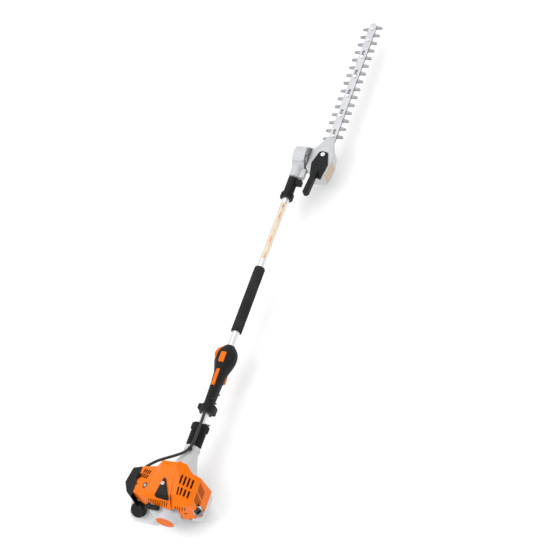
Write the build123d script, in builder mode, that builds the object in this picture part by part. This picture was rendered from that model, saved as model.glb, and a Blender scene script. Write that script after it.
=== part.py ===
"""Petrol pole hedge trimmer: a powerhead, a pole and a pivoting double-sided cutter, in millimetres.

The pole lies along X with the cutter at +X. Z is up, toward the engine's top, and Y is the operator's left.
The origin is on the pole's axis, at the middle of the foam grip.
"""
from build123d import *
import math
import os

os.makedirs("parts", exist_ok=True)

# Pole
TUBE_R = 12.7
TUBE_BORE_R = 11.1
TUBE_REAR = -564.0
TUBE_FRONT = 500.0
SHAFT_R = 4.0
GRIP_HALF = 120.0

# Cutter head
HINGE_X = 556.0
ARM_FACE_Y = -27.0
HEAD_FACE_Y = -35.0
BLADE_Y = -75.0
BLADE_HALF = 12.4
TOOTH_REACH = 33.0
TOOTH_PITCH = 34.0
TEETH_RIGHT = 15
TEETH_LEFT = 15
FIRST_RIGHT = 1148.0
FIRST_LEFT = 1136.0
BLADE_TIP = 1156.0
BLADE_THROW = 8.5
BOLTS_X = [612.0] + [670.0 + 85.5 * i for i in range(5)] + [1086.0, 1137.0]
BAR_LOW, BAR_HIGH = -14.0, -11.0
UPPER_LOW, UPPER_HIGH = -17.1, -14.3
LOWER_LOW, LOWER_HIGH = -20.2, -17.4
NOTCHES = 13
NOTCH_STEP = 12.0
NOTCH_DEPTH = 4.9
QUADRANT_R = 40.0

# Engine
CYLINDER_X = -700.0
COVER_WALL = 3.0
VENT_WALL = 1.2

# Handle: (X, half width, half height) of the grip and its bulge
GRIP_STATIONS = [(-384, 15.6, 20.5), (-345, 16.2, 22.5), (-306, 17.2, 24.5)]
BULGE_STATIONS = [
    (-306, 17.2, 24.5), (-285, 19.2, 25.6), (-262, 24, 27.5), (-240, 31.5, 29.6), (-214, 35, 30.8),
    (-194, 30.5, 27.5), (-180, 21, 20.5), (-174, 15.6, 15.8),
]
CABLE_R = 4.5
RIB_COUNT, RIB_PITCH = 5, 9.2
TRIGGER_PIVOT = (-250.0, -18.0)
LEVER_PIVOT = (-268.0, 18.0)
WHEEL_CENTRE = (-211.0, 8.0)


# ---------------------------------------------------------------- shape helpers

def prism(points, low, high, plane=Plane.XY, corner=0.0):
    """A straight prism on an outline, between two offsets along the plane's normal."""
    with BuildPart() as body:
        with BuildSketch(plane.offset(low)) as face:
            with BuildLine():
                Polyline(*points, close=True)
            make_face()
            if corner > 0:
                fillet(face.vertices(), radius=corner)
        extrude(amount=high - low)
    return body.part


def slab(points, y_low, y_high, corner=0.0):
    """A prism on an (x, z) outline, between two values of Y."""
    return prism(points, -y_high, -y_low, Plane.XZ, corner)


def block(x, y, z, edge=0.0):
    """A box from (low, high) pairs, with its upright edges rounded."""
    corners = [(x[0], y[0]), (x[1], y[0]), (x[1], y[1]), (x[0], y[1])]
    return prism(corners, z[0], z[1], corner=edge)


def lathe(points, origin=(0, 0, 0), direction=(1, 0, 0)):
    """A turned solid: (distance along, radius) points spun about a line."""
    with BuildPart() as body:
        with BuildSketch(Plane.XZ):
            with BuildLine():
                Polyline(*[(radius, along) for along, radius in points], close=True)
            make_face()
        revolve(axis=Axis.Z)
    return Plane(origin=origin, z_dir=direction).location * body.part


def rod(start, end, radius):
    """A round bar between two points."""
    line = Vector(*end) - Vector(*start)
    return lathe([(0, 0), (line.length, 0), (line.length, radius), (0, radius)], start, tuple(line))


def ring(low, high, inner, outer, origin=(0, 0, 0), direction=(1, 0, 0)):
    """A plain tube or washer."""
    return lathe([(low, inner), (low, outer), (high, outer), (high, inner)], origin, direction)


def puck(radius, height):
    """A round disc about Z, centred on the origin."""
    return rod((0, 0, -height / 2), (0, 0, height / 2), radius)


def brick(x, y, z):
    """A box centred on the origin."""
    return block((-x / 2, x / 2), (-y / 2, y / 2), (-z / 2, z / 2))


def obround(centre, half_long, half_wide, low, high):
    """A round-ended slab along X."""
    with BuildPart() as body:
        with BuildSketch(Plane.XY.offset(low)):
            with Locations(centre):
                SlotOverall(2 * half_long, 2 * half_wide)
        extrude(amount=high - low)
    return body.part


def bevel_teeth(teeth, cone_distance, pitch_angle, face, height, fill, start=0.0):
    """A straight bevel gear about +Z with its apex at the origin and its large end up."""
    turn = math.radians(pitch_angle)
    big = (cone_distance * math.cos(turn), cone_distance * math.sin(turn))
    scale = 1 - face / cone_distance
    small = (big[0] * scale, big[1] * scale)
    wide = 2 * math.pi * big[1] / teeth * fill
    root = 1.25 * height
    with BuildPart() as tooth:
        for (level, radius), size in ((small, scale), (big, 1.0)):
            inside, outside = radius - root * size - 0.3, radius + height * size
            with BuildSketch(Plane.XY.offset(level)):
                with BuildLine():
                    Polyline((inside, -0.62 * wide * size), (outside, -0.38 * wide * size),
                             (outside, 0.38 * wide * size), (inside, 0.62 * wide * size), close=True)
                make_face()
        loft()
    core = lathe([(small[0], 0), (small[0], small[1] - root * scale), (big[0], big[1] - root),
                  (big[0] + 2.5, big[1] - root - 1.5), (big[0] + 2.5, 0)], direction=(0, 0, 1))
    with BuildPart() as gear:
        add(core)
        with PolarLocations(0, teeth, start_angle=start):
            add(tooth.part)
    return gear.part


# ---------------------------------------------------------------- pole

def drive_tube():
    with BuildPart() as tube:
        add(ring(TUBE_REAR, TUBE_FRONT, TUBE_BORE_R, TUBE_R))
    return tube


def drive_shaft():
    with BuildPart() as shaft:
        add(rod((-636, 0, 0), (541, 0, 0), SHAFT_R))
        add(rod((-636, 0, 0), (-618, 0, 0), 5.5))
    return shaft


def shaft_bushes():
    with BuildPart() as bushes:
        for x in (-470, -235, 0, 235, 455):
            add(ring(x - 12, x + 12, SHAFT_R + 0.08, TUBE_BORE_R - 0.02))
    return bushes


def foam_grip():
    end, body, inner = 16.6, 17.6, TUBE_R + 0.02
    with BuildPart() as grip:
        add(lathe([(-GRIP_HALF, inner), (-GRIP_HALF, end), (-GRIP_HALF + 3, body),
                   (GRIP_HALF - 3, body), (GRIP_HALF, end), (GRIP_HALF, inner)]))
    return grip


def tube_screw():
    with BuildPart() as screw:
        add(rod((-447, -TUBE_R, 0), (-447, -23, 0), 2.6))
        add(rod((-447, -23, 0), (-447, -28, 0), 4.4))
    return screw


# ---------------------------------------------------------------- control handle

def handle_loft(inset):
    """The grip and its bulge round the pole, shrunk by an inset."""
    with BuildPart() as body:
        for stations, trim in ((GRIP_STATIONS, (inset, 0)), (BULGE_STATIONS, (0, -inset))):
            for index, (x, wide, high) in enumerate(stations):
                shift = trim[0] if index == 0 else trim[1] if index == len(stations) - 1 else 0
                with BuildSketch(Plane.YZ.offset(x + shift)):
                    Ellipse(wide - inset, high - inset)
            loft()
    return body.part


def hollow_handle():
    """The whole hollow handle, with its windows, bosses and pin holes."""
    outer = handle_loft(0)
    pivots = (TRIGGER_PIVOT, LEVER_PIVOT)
    wheel_x, wheel_y = WHEEL_CENTRE
    with BuildPart() as bosses:
        for x, z in pivots:
            for side in (-1, 1):
                add(rod((x, side * 6.2, z), (x, side * 30, z), 3.4))
        add(block((wheel_x - 4, wheel_x + 4), (wheel_y - 5, 40), (13.0, 13.9)))
        add(outer, mode=Mode.INTERSECT)
    with BuildPart() as shell:
        add(outer)
        add(handle_loft(2.4), mode=Mode.SUBTRACT)
        add(bosses.part)
        add(rod((-400, 0, 0), (-160, 0, 0), TUBE_R + 0.02), mode=Mode.SUBTRACT)
        for x, z in pivots:
            add(rod((x, -14, z), (x, 14, z), 1.52), mode=Mode.SUBTRACT)
        add(block((-297, -244.5), (-5.7, 5.7), (-40, -13)), mode=Mode.SUBTRACT)
        add(block((-327, -262), (-5.3, 5.3), (13.2, 40)), mode=Mode.SUBTRACT)
        add(block((-245, -208), (-9.1, 9.1), (21.5, 40), 3.4), mode=Mode.SUBTRACT)
        add(rod((wheel_x, wheel_y, 13.9), (wheel_x, wheel_y, 21.2), 27.6), mode=Mode.SUBTRACT)
    return shell.part


def handle_shell(keep):
    """One half of the handle, parted along the middle."""
    with BuildPart() as half:
        add(HANDLE)
        split(bisect_by=Plane.XZ, keep=keep)
    return half


def handle_clamp():
    with BuildPart() as clamp:
        add(ring(-412, -384.6, TUBE_R + 0.02, 21.0))
        add(block((-404, -384.6), (13, 28.5), (-11, 11), 4))
        add(block((-412, -384.6), (-28.5, -13), (-11, 11), 4))
        add(rod((-398, 0, 0), (-398, 40, 0), 2.2), mode=Mode.SUBTRACT)
        add(rod((-420, 0, 0), (-380, 0, 0), TUBE_R + 0.02), mode=Mode.SUBTRACT)
    return clamp


def throttle_trigger():
    x, z = TRIGGER_PIVOT
    outline = [(x + 3.4, z - 2.4), (x + 2, z - 14), (x - 4, z - 26), (x - 14, z - 31), (x - 30, z - 30),
               (x - 37, z - 26), (x - 26, z - 22), (x - 17, z - 15), (x - 12, z - 4), (x - 3, z + 2)]
    with BuildPart() as trigger:
        add(slab(outline, -5, 5, 1.2))
        add(rod((x, -5, z), (x, 5, z), 4.2))
        add(rod((x, -6, z), (x, 6, z), 1.55), mode=Mode.SUBTRACT)
    return trigger


def lock_lever():
    x, z = LEVER_PIVOT
    outline = [(x + 3.2, z), (x + 4, z + 6), (x - 2, z + 10), (x - 22, z + 11.6), (x - 44, z + 11.2),
               (x - 56, z + 9), (x - 56, z + 6), (x - 30, z + 6.5), (x - 6, z + 2)]
    with BuildPart() as lever:
        add(slab(outline, -4.8, 4.8, 0.9))
        add(rod((x, -4.8, z), (x, 4.8, z), 3.6))
        add(rod((x, -6, z), (x, 6, z), 1.55), mode=Mode.SUBTRACT)
    return lever


def stop_switch():
    with BuildPart() as switch:
        add(block((-244, -209), (-8.6, 8.6), (24, 33.2), 3))
        fillet(switch.faces().sort_by(Axis.Z)[-1].edges(), radius=1.4)
    return switch


def speed_wheel():
    x, y = WHEEL_CENTRE
    with BuildPart() as wheel:
        add(ring(14.3, 20.8, 2.05, 26, (x, y, 0), (0, 0, 1)))
        with BuildSketch(Plane.XY.offset(14)):
            with Locations((x, y)):
                with PolarLocations(26.4, 40):
                    Circle(0.9)
        extrude(amount=8, mode=Mode.SUBTRACT)
    return wheel


def handle_pins():
    wheel_x, wheel_y = WHEEL_CENTRE
    with BuildPart() as pins:
        for x, z in (TRIGGER_PIVOT, LEVER_PIVOT):
            add(rod((x, -12, z), (x, 12, z), 1.5))
        add(rod((wheel_x, wheel_y, 13.9), (wheel_x, wheel_y, 21.6), 2.0))
    return pins


def handle_screws():
    """Five cross-head screws in the right half of the handle."""
    with BuildPart() as screws:
        for x, z, y in ((-366, 17, -10.2), (-366, -17, -11), (-334, -18.5, -11), (-196, -20, -20),
                        (-226, 22, -20.8)):
            add(rod((x, y - 3.4, z), (x, y, z), 2.6))
            with Locations((x, y - 3.4, z)):
                Box(3.4, 1.2, 0.8, mode=Mode.SUBTRACT)
                Box(0.8, 1.2, 3.4, mode=Mode.SUBTRACT)
    return screws


def throttle_cable():
    """Conduit from the handle over the boot to the carburettor side: straight runs joined by tangent arcs."""
    route = [(-412.1, -3, 17.4), (-438, -5, 17.4), (-460, -9, 27), (-486, -12, 32.6), (-520, -11, 30.5),
             (-548, -7, 32), (-568, 6, 38), (-587, 28, 46), (-604, 56, 50), (-622, 82, 51), (-640, 101, 48)]
    radii = []
    for before, corner, after in zip(route, route[1:], route[2:]):
        one, two = Vector(*corner) - Vector(*before), Vector(*after) - Vector(*corner)
        turn = math.radians(one.get_angle(two))
        radii.append(0.45 * min(one.length, two.length) / math.tan(turn / 2))
    print("cable radii", [round(radius) for radius in radii])
    with BuildPart() as cable:
        with BuildLine():
            run = FilletPolyline(*route, radius=radii)
        with BuildSketch(Plane(origin=run @ 0, z_dir=run % 0)):
            Circle(CABLE_R)
        sweep(path=run)
    print("cable length", round(run.length, 1), "volume ratio",
          round(cable.part.volume / (math.pi * CABLE_R ** 2 * run.length), 4))
    return cable


# ---------------------------------------------------------------- clutch end

def av_boot():
    """Ribbed rubber mount between the tube and the clutch housing."""
    profile = [(-454, TUBE_R + 0.02), (-454, 26.5), (-456, 28.2), (-469, 28.2), (-474, 24.6), (-477, 21.6)]
    for index in range(RIB_COUNT):
        x = -479 - RIB_PITCH * index
        profile += [(x, 21.6), (x - 2, 24.2), (x - 5.5, 24.2), (x - 7.5, 21.6)]
    profile += [(-526, 22.4), (-529.8, 22.4), (-529.8, TUBE_R + 0.02)]
    with BuildPart() as boot:
        add(lathe(profile))
        for index in range(8):
            add(Rotation(45 * index + 10, 0, 0) * block((-524, -478), (22.4, 26), (-1.5, 1.5)), mode=Mode.SUBTRACT)
        add(block((-475, -450), (-4, 4), (-40, -24)), mode=Mode.SUBTRACT)
        add(block((-476, -450), (-16.4, -1.8), (18, 40)), mode=Mode.SUBTRACT)
    return boot


def clutch_housing():
    with BuildPart() as housing:
        with BuildSketch(Plane.XY):
            with BuildLine():
                ThreePointArc((-530, 20), (-596, 37.5), (-648, 64))
                Polyline((-648, 64), (-668.2, 66), (-668.2, 62.6), (-650, 61), (-628, 48), (-600, 34),
                         (-572, 23.6), (-566, 21), (-566, TUBE_R + 0.02), (-530, TUBE_R + 0.02), (-530, 20))
            make_face()
        revolve(axis=Axis.X)
        add(lathe([(-530, 14), (-530, 24), (-532, 24.8), (-544, 24.8), (-549, 21), (-549, 14)]))
        add(rod((-530, 0, 0), (-566, 0, 0), TUBE_R + 0.02), mode=Mode.SUBTRACT)
        add(block((-544, -536), (-27, -19), (-2, 2)), mode=Mode.SUBTRACT)
        add(rod((-542, -9, 0), (-542, -30, 0), 2.2), mode=Mode.SUBTRACT)
    return housing


def clutch_drum():
    with BuildPart() as drum:
        add(lathe([(-648, 31), (-648, 33.5), (-622, 33.5), (-618, 30), (-618, 5.52), (-625, 5.52), (-625, 31)]))
    return drum


def clutch_shoes():
    """Three curved weights round a hub, parted by narrow gaps."""
    with BuildPart() as shoes:
        add(ring(-646, -628, 12, 29.5))
        for index in range(3):
            add(Rotation(120 * index, 0, 0) * block((-644, -628.5), (9, 40), (-1.5, 1.5)), mode=Mode.SUBTRACT)
        add(ring(-647.5, -641, 7.52, 14))
    return shoes


# ---------------------------------------------------------------- engine core

def crankcase():
    with BuildPart() as case:
        add(rod((-741.8, 0, 0), (-668.6, 0, 0), 36))
        add(block((-724, -676), (-24, 24), (0, 40), 6))
        add(ring(-674, -668.6, 20, 62))
        add(rod((-718, 0, 0), (-682, 0, 0), 27), mode=Mode.SUBTRACT)
        add(rod((CYLINDER_X, 0, 0), (CYLINDER_X, 0, 41), 19.2), mode=Mode.SUBTRACT)
        add(rod((-745, 0, 0), (-660, 0, 0), 7.55), mode=Mode.SUBTRACT)
        add(rod((CYLINDER_X, 0, 41.8), (CYLINDER_X, 0, 80), 30), mode=Mode.SUBTRACT)
    return case


def cylinder():
    low, high, wall, bore, plug_z = 40.2, 82.5, 22.0, 19.0, 74.0
    with BuildPart() as barrel:
        add(rod((CYLINDER_X, 0, low), (CYLINDER_X, 0, high), wall))
        for level in range(8):
            z = low + 2 + 5 * level
            add(rod((CYLINDER_X, 0, z), (CYLINDER_X, 0, z + 1.8), 29.4))
        add(rod((CYLINDER_X, 0, low), (CYLINDER_X, 0, high - 6), bore), mode=Mode.SUBTRACT)
        add(rod((-676, 0, plug_z), (-665, 0, plug_z), 8.2), mode=Mode.SUBTRACT)
        add(rod((-684, 0, plug_z), (-675, 0, plug_z), 4.1), mode=Mode.SUBTRACT)
    return barrel


def piston():
    with BuildPart() as crown:
        add(rod((CYLINDER_X, 0, 49), (CYLINDER_X, 0, 72), 18.95))
        add(rod((CYLINDER_X, 0, 48), (CYLINDER_X, 0, 68), 16), mode=Mode.SUBTRACT)
        add(rod((CYLINDER_X - 16.5, 0, 59), (CYLINDER_X + 16.5, 0, 59), 4))
    return crown


def connecting_rod():
    with BuildPart() as link:
        add(rod((CYLINDER_X - 5, 0, 12.5), (CYLINDER_X + 5, 0, 12.5), 9))
        add(block((CYLINDER_X - 3, CYLINDER_X + 3), (-4, 4), (14, 55)))
        add(rod((CYLINDER_X - 4, 0, 59), (CYLINDER_X + 4, 0, 59), 7.5))
        add(rod((CYLINDER_X - 6, 0, 12.5), (CYLINDER_X + 6, 0, 12.5), 5.3), mode=Mode.SUBTRACT)
        add(rod((CYLINDER_X - 6, 0, 59), (CYLINDER_X + 6, 0, 59), 4.05), mode=Mode.SUBTRACT)
    return link


def crankshaft():
    """Two journals, each with its round web; the pin between the webs is left out, so the linkage is open."""
    with BuildPart() as crank:
        add(rod((-752, 0, 0), (-706.5, 0, 0), 7.5))
        add(rod((-713, 0, 0), (-706.5, 0, 0), 23))
        add(rod((-693.5, 0, 0), (-640.2, 0, 0), 7.5))
        add(rod((-693.5, 0, 0), (-687, 0, 0), 23))
    return crank


def flywheel_fan():
    with BuildPart() as fan:
        add(ring(-665.4, -658, 7.48, 50))
        add(ring(-658, -650, 7.48, 15))
        for index in range(16):
            add(Rotation(22.5 * index, 0, 0) * block((-658, -650), (20, 49), (-1.2, 1.2)))
    return fan


def ignition_module():
    with BuildPart() as module:
        add(block((-664, -652), (-14, 14), (53, 58.5), 2))
        for side in (-1, 1):
            add(block((-663, -654), (side * 10 - 2.5, side * 10 + 2.5), (51.4, 54)))
    return module


def spark_plug():
    start = (-680.5, 0, 74)
    with BuildPart() as plug:
        add(lathe([(0, 0), (0, 4), (4.6, 4), (4.6, 7), (10, 7), (10, 5), (16, 5), (18, 7.4), (36, 7.4), (39, 5.5),
                   (39, 0)], start))
    return plug


# ---------------------------------------------------------------- covers

SHROUD_PLAN = [(-632, -36), (-632, 22), (-643, 44), (-641, 116), (-705, 123), (-714, 122), (-724, 112),
               (-744, 58), (-752, 0), (-757, -36)]
SHROUD_END = [(124, -24), (120, 46), (116, 50), (48, 82), (26, 108), (-40, 113.5), (-40, -24)]
SHROUD_SIDE = [(-628, -20), (-628, 115), (-640, 112), (-728, 86), (-738, 76), (-756, 42), (-770, 10), (-770, -20)]
COVER_PLAN = [(-626, -16), (-627, -48), (-646, -66), (-648, -101), (-727, -101), (-735, -92), (-752, -46),
              (-757, -16)]
COVER_END = [(-12, 112.8), (-27, 111), (-48, 96), (-89, 63), (-99, -20), (-99.5, -36), (-12, -36)]
COVER_SIDE = [(-626, -32), (-626, 115), (-640, 112), (-722, 86), (-745, 55), (-756, 35), (-750, -20), (-749, -32)]
FILTER_PLAN = [(-641, 100), (-644, 141), (-692, 152), (-725, 132), (-746, 105), (-744, 100)]
FILTER_END = [(96, 60), (125, 47), (153, 35), (153, -28), (96, -28)]
FILTER_SIDE = [(-637, -22), (-637, 66), (-750, 66), (-750, -10), (-712, -10), (-700, -22)]
TANK_PLAN = [(-759, 62), (-645, 62), (-645, 149), (-759, 149)]
TANK_END = [(61, -110), (150, -110), (150, -23), (61, -23)]
TANK_SIDE = [(-644, -98), (-644, -24), (-691, -24), (-760, -69.4), (-760, -98)]
GUARD_PLAN = [(-655, -97), (-727, -97), (-741, -84), (-741, 60), (-655, 60)]
GUARD_END = [(-98, -12), (-98, -45), (-62, -95), (61, -95), (61, -12)]
GUARD_SIDE = [(-654, -11), (-654, -94), (-722, -94), (-742, -38), (-742, -11)]
STARTER_END = [(46, 30), (-45.4, 30), (-45.4, 8), (-19, -42), (-2, -63), (30, -66), (46, -48)]
CAP_SEAT = (-733, 116, -51.6)
CAP_AXIS = (-0.5493, 0, 0.8356)
CHOKE_SEAT = (-674, 106.3, 55.3)
DECK_AXIS = (0, 0.425, 0.905)


def hull(plan, end, side, inset=0.0, corner=3.0):
    """The solid common to three outlines, shrunk by an inset: from above, from behind and from the side."""
    with BuildPart() as body:
        for outline, plane, low, high, mode in ((plan, Plane.XY, -140, 140, Mode.ADD),
                                                (end, Plane.YZ, -800, -560, Mode.INTERSECT),
                                                (side, Plane.XZ, -200, 200, Mode.INTERSECT)):
            with BuildSketch(plane.offset(low)) as face:
                with BuildLine():
                    Polyline(*outline, close=True)
                make_face()
                fillet(face.vertices(), radius=corner)
                if inset:
                    offset(amount=-inset, mode=Mode.REPLACE)
            extrude(amount=high - low, mode=mode)
    return body.part


def bell_room():
    """The clutch housing's space, cut out of every cover that reaches over it."""
    return lathe([(-520, 0), (-520, 21), (-592, 37.4), (-648, 65), (-668.4, 67), (-676, 67), (-676, 0)])


def engine_shroud():
    deck = Plane(origin=(-668, 84, 65.1), x_dir=(1, 0, 0), z_dir=DECK_AXIS)
    screw = Plane(origin=(-705, 68.4, 72.4), x_dir=(1, 0, 0), z_dir=DECK_AXIS)
    choke = Plane(origin=CHOKE_SEAT, x_dir=(1, 0, 0), z_dir=DECK_AXIS)
    with BuildPart() as shroud:
        add(hull(SHROUD_PLAN, SHROUD_END, SHROUD_SIDE))
        add(hull(SHROUD_PLAN, SHROUD_END, SHROUD_SIDE, COVER_WALL), mode=Mode.SUBTRACT)
        add(block((-780, -600), (-60, -26), (-60, 150)), mode=Mode.SUBTRACT)
        add(block((-780, -600), (-60, 150), (-60, 0)), mode=Mode.SUBTRACT)
        add(block((-780, -730), (-60, 58.4), (-60, 44.6)), mode=Mode.SUBTRACT)
        add(bell_room(), mode=Mode.SUBTRACT)
        add(screw.location * Pos(0, 0, -5) * puck(12.4, 7))
        add(screw.location * Pos(0, 0, 1) * puck(9.6, 8), mode=Mode.SUBTRACT)
        add(screw.location * Pos(0, 0, -6) * puck(2.6, 16), mode=Mode.SUBTRACT)
        add(hull(SHROUD_PLAN, SHROUD_END, SHROUD_SIDE, VENT_WALL) & deck.location * Pos(-0.4, -2.2, 0) *
            brick(41, 42, 10), mode=Mode.SUBTRACT)
        for step in range(4):
            for row in (-1, 1):
                slot = Pos(5.0 - 2.5 * step, 11 - 8.8 * step, 0) * Rotation(0, 0, -19) * Pos(7.6 * row, 0, 0)
                add(deck.location * slot * brick(13.2, 6.2, 14), mode=Mode.SUBTRACT)
        for step in range(9):
            y = -14 + 7.4 * step
            add(Pos(-748, y, 60) * Rotation(18, 0, 0) * brick(26, 2.6, 20), mode=Mode.SUBTRACT)
        add(rod((-699, 103, 40), (-699, 103, 75), 3.2), mode=Mode.SUBTRACT)
        add(rod((-620, 80, 51.2), (-648, 109.5, 46.6), CABLE_R + 0.15), mode=Mode.SUBTRACT)
        add(choke.location * puck(3.2, 40), mode=Mode.SUBTRACT)
        add(rod((-700, 3, 60), (-700, 3, 120), 2.6), mode=Mode.SUBTRACT)
    return shroud


def muffler_cover():
    with BuildPart() as cover:
        add(hull(COVER_PLAN, COVER_END, COVER_SIDE))
        add(hull(COVER_PLAN, COVER_END, COVER_SIDE, COVER_WALL), mode=Mode.SUBTRACT)
        add(block((-780, -600), (-26.4, 20), (-60, 150)), mode=Mode.SUBTRACT)
        add(block((-780, -600), (-150, 20), (-60, -20)), mode=Mode.SUBTRACT)
        add(block((-780, -738), (-46, 20), (-60, 45)), mode=Mode.SUBTRACT)
        add(bell_room(), mode=Mode.SUBTRACT)
        for step in range(4):
            y = -46 - 9.5 * step
            add(block((-690, -661), (y - 2.6, y + 2.6), (60, 130), 1), mode=Mode.SUBTRACT)
            add(block((-721, -698), (y - 2.6, y + 2.6), (60, 130), 1), mode=Mode.SUBTRACT)
        add(hull(COVER_PLAN, COVER_END, COVER_SIDE, VENT_WALL) & block((-725, -656), (-100, -86), (12, 61)),
            mode=Mode.SUBTRACT)
        for start in (-666, -698):
            for step in range(5):
                slot = Pos(start - 5.4 * step, -96, 36) * Rotation(0, 15, 0) * brick(3.2, 24, 44)
                add(slot, mode=Mode.SUBTRACT)
        for step in range(5):
            y = -37 - 7.4 * step
            add(Pos(-752, y, 45) * Rotation(18, 0, 0) * brick(24, 2.6, 22), mode=Mode.SUBTRACT)
        add(block((-768, -712), (-112, -82), (-17, 29), 5), mode=Mode.SUBTRACT)
        add(rod((-730, -62, 18), (-760, -62, 18), 5), mode=Mode.SUBTRACT)
    return cover


def shroud_latch():
    outline = [(-676, 2), (-738, 22), (-740, -25)]
    with BuildPart() as latch:
        with BuildSketch(Plane.XY.offset(60)) as face:
            with BuildLine():
                Polyline(*outline, close=True)
            make_face()
            fillet(face.vertices(), radius=4)
        extrude(amount=80)
        add(hull(SHROUD_PLAN, SHROUD_END, SHROUD_SIDE, -4.0), mode=Mode.INTERSECT)
        add(hull(SHROUD_PLAN, SHROUD_END, SHROUD_SIDE, -0.05), mode=Mode.SUBTRACT)
        add(rod((-700, 3, 96.5), (-700, 3, 120), 6.2), mode=Mode.SUBTRACT)
        add(rod((-700, 3, 60), (-700, 3, 120), 2.6), mode=Mode.SUBTRACT)
    return latch


def shroud_screws():
    """The latch's knurled screw and the deck screw."""
    seat = Plane(origin=(-705, 68.4, 72.4), x_dir=(1, 0, 0), z_dir=DECK_AXIS)
    with BuildPart() as screws:
        add(rod((-700, 3, 96.6), (-700, 3, 101.5), 5.8))
        add(rod((-700, 3, 88), (-700, 3, 97), 2.5))
        with Locations((-700, 3, 101.5)):
            Box(9, 1.2, 1.6, mode=Mode.SUBTRACT)
        add(seat.location * Pos(0, 0, -1.4) * puck(5.6, 3))
        add(seat.location * Pos(0, 0, -6) * puck(2.5, 8))
        add(seat.location * brick(8, 1.2, 2), mode=Mode.SUBTRACT)
    return screws


def filter_cover():
    with BuildPart() as cover:
        add(hull(FILTER_PLAN, FILTER_END, FILTER_SIDE))
        add(hull(FILTER_PLAN, FILTER_END, FILTER_SIDE, COVER_WALL), mode=Mode.SUBTRACT)
        add(hull(SHROUD_PLAN, SHROUD_END, SHROUD_SIDE, -0.4), mode=Mode.SUBTRACT)
        add(block((-760, -620), (80, 106), (-60, 80)), mode=Mode.SUBTRACT)
        add(Plane(origin=CHOKE_SEAT, z_dir=DECK_AXIS).location * puck(3.6, 40), mode=Mode.SUBTRACT)
    return cover


def filter_base():
    with BuildPart() as base:
        add(block((-726, -650), (73, 76), (1, 54)))
        add(block((-740, -700), (73, 104), (-16, -1.2), 3))
        add(block((-722, -702), (73, 76), (-2, 2)))
        add(block((-745, -739), (78, 98), (-16, -1.2)))
        add(rod((-700, 60, 46), (-700, 80, 46), 9), mode=Mode.SUBTRACT)
        add(rod((-747, 88, -8.6), (-740.5, 88, -8.6), 6.5), mode=Mode.SUBTRACT)
    return base


def air_filter():
    with BuildPart() as element:
        add(block((-721, -656), (76.6, 99), (3, 44), 4))
        for step in range(7):
            x = -714 + 8.6 * step
            add(block((x - 1.2, x + 1.2), (93, 101), (0, 46)), mode=Mode.SUBTRACT)
    return element


def carburettor():
    with BuildPart() as carb:
        add(block((-716, -684), (40, 66), (32, 60), 3))
        add(rod((-700, 31.5, 46), (-700, 72.6, 46), 12))
        add(rod((-700, 53, 26), (-700, 53, 32), 10))
        add(rod((-684, 53, 48), (-672, 53, 48), 4))
        add(rod((-700, 30, 46), (-700, 74, 46), 7), mode=Mode.SUBTRACT)
    return carb


def choke_knob():
    base = Plane(origin=CHOKE_SEAT, x_dir=(1, 0, 0), z_dir=DECK_AXIS)
    with BuildPart() as knob:
        add(base.location * Pos(0, 0, 3.4) * puck(9, 6))
        add(base.location * Pos(0, 0, 7.4) * brick(15, 4, 3))
        add(base.location * Pos(0, 0, -5) * puck(3, 13))
    return knob


def purge_bulb():
    with BuildPart() as bulb:
        add(lathe([(0, 0), (0, 6.2), (2, 6.2), (3, 5.8), (6, 5), (8, 3.2), (9, 1.2), (9.2, 0)],
                  (-745.3, 88, -8.6), (-1, 0, 0)))
    return bulb


def muffler():
    with BuildPart() as box:
        add(block((-728, -675), (-82, -38), (-12, 50), 8))
        add(block((-712, -688), (-38.5, -30.6), (41, 49)))
        add(rod((-716, -70, 12), (-731.4, -96.4, 12), 10))
        add(rod((-720, -76.9, 12), (-740, -111.2, 12), 8), mode=Mode.SUBTRACT)
    return box


# ---------------------------------------------------------------- starter, tank and base

def starter_housing():
    with BuildPart() as housing:
        for low, high, inset, mode in ((-764, -742, 0, Mode.ADD), (-761, -738, 3, Mode.SUBTRACT)):
            with BuildSketch(Plane.YZ.offset(low)) as face:
                with BuildLine():
                    Polyline(*STARTER_END, close=True)
                make_face()
                fillet(face.vertices(), radius=6)
                if inset:
                    offset(amount=-inset, mode=Mode.REPLACE)
            extrude(amount=high - low, mode=mode)
        add(lathe([(-742, 32), (-742, 41), (-752, 41), (-772, 35.6), (-778.4, 33.4), (-779, 32.6), (-779, 28.6),
                   (-776, 28.6), (-776, 32)]))
        add(rod((-775.9, 0, 0), (-730, 0, 0), 32), mode=Mode.SUBTRACT)
        add(block((-758, -744), (22, 38), (26, 41)))
        add(ring(-776, -773, 24, 33))
        for index in range(4):
            add(Rotation(90 * index + 45, 0, 0) * block((-776, -773), (0, 33), (-3, 3)))
        add(rod((-776, 0, 0), (-755, 0, 0), 5.9))
        add(rod((-764, 30, 55), (-747, 30, 30), 2.4), mode=Mode.SUBTRACT)
    return housing


def starter_vent():
    with BuildPart() as vent:
        add(rod((-779.6, 0, 0), (-776.4, 0, 0), 28.2))
        for step in range(9):
            z = -22 + 5.5 * step
            half = math.sqrt(24.5 ** 2 - z ** 2)
            add(block((-782, -774), (-half, -1.2), (z - 1.1, z + 1.1)), mode=Mode.SUBTRACT)
            add(block((-782, -774), (1.2, half), (z - 1.1, z + 1.1)), mode=Mode.SUBTRACT)
    return vent


def recoil_pulley():
    with BuildPart() as pulley:
        add(lathe([(-771, 6), (-771, 24), (-768, 24), (-766, 19), (-761, 19), (-759, 24), (-756.5, 24),
                   (-756.5, 6)]))
    return pulley


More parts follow.
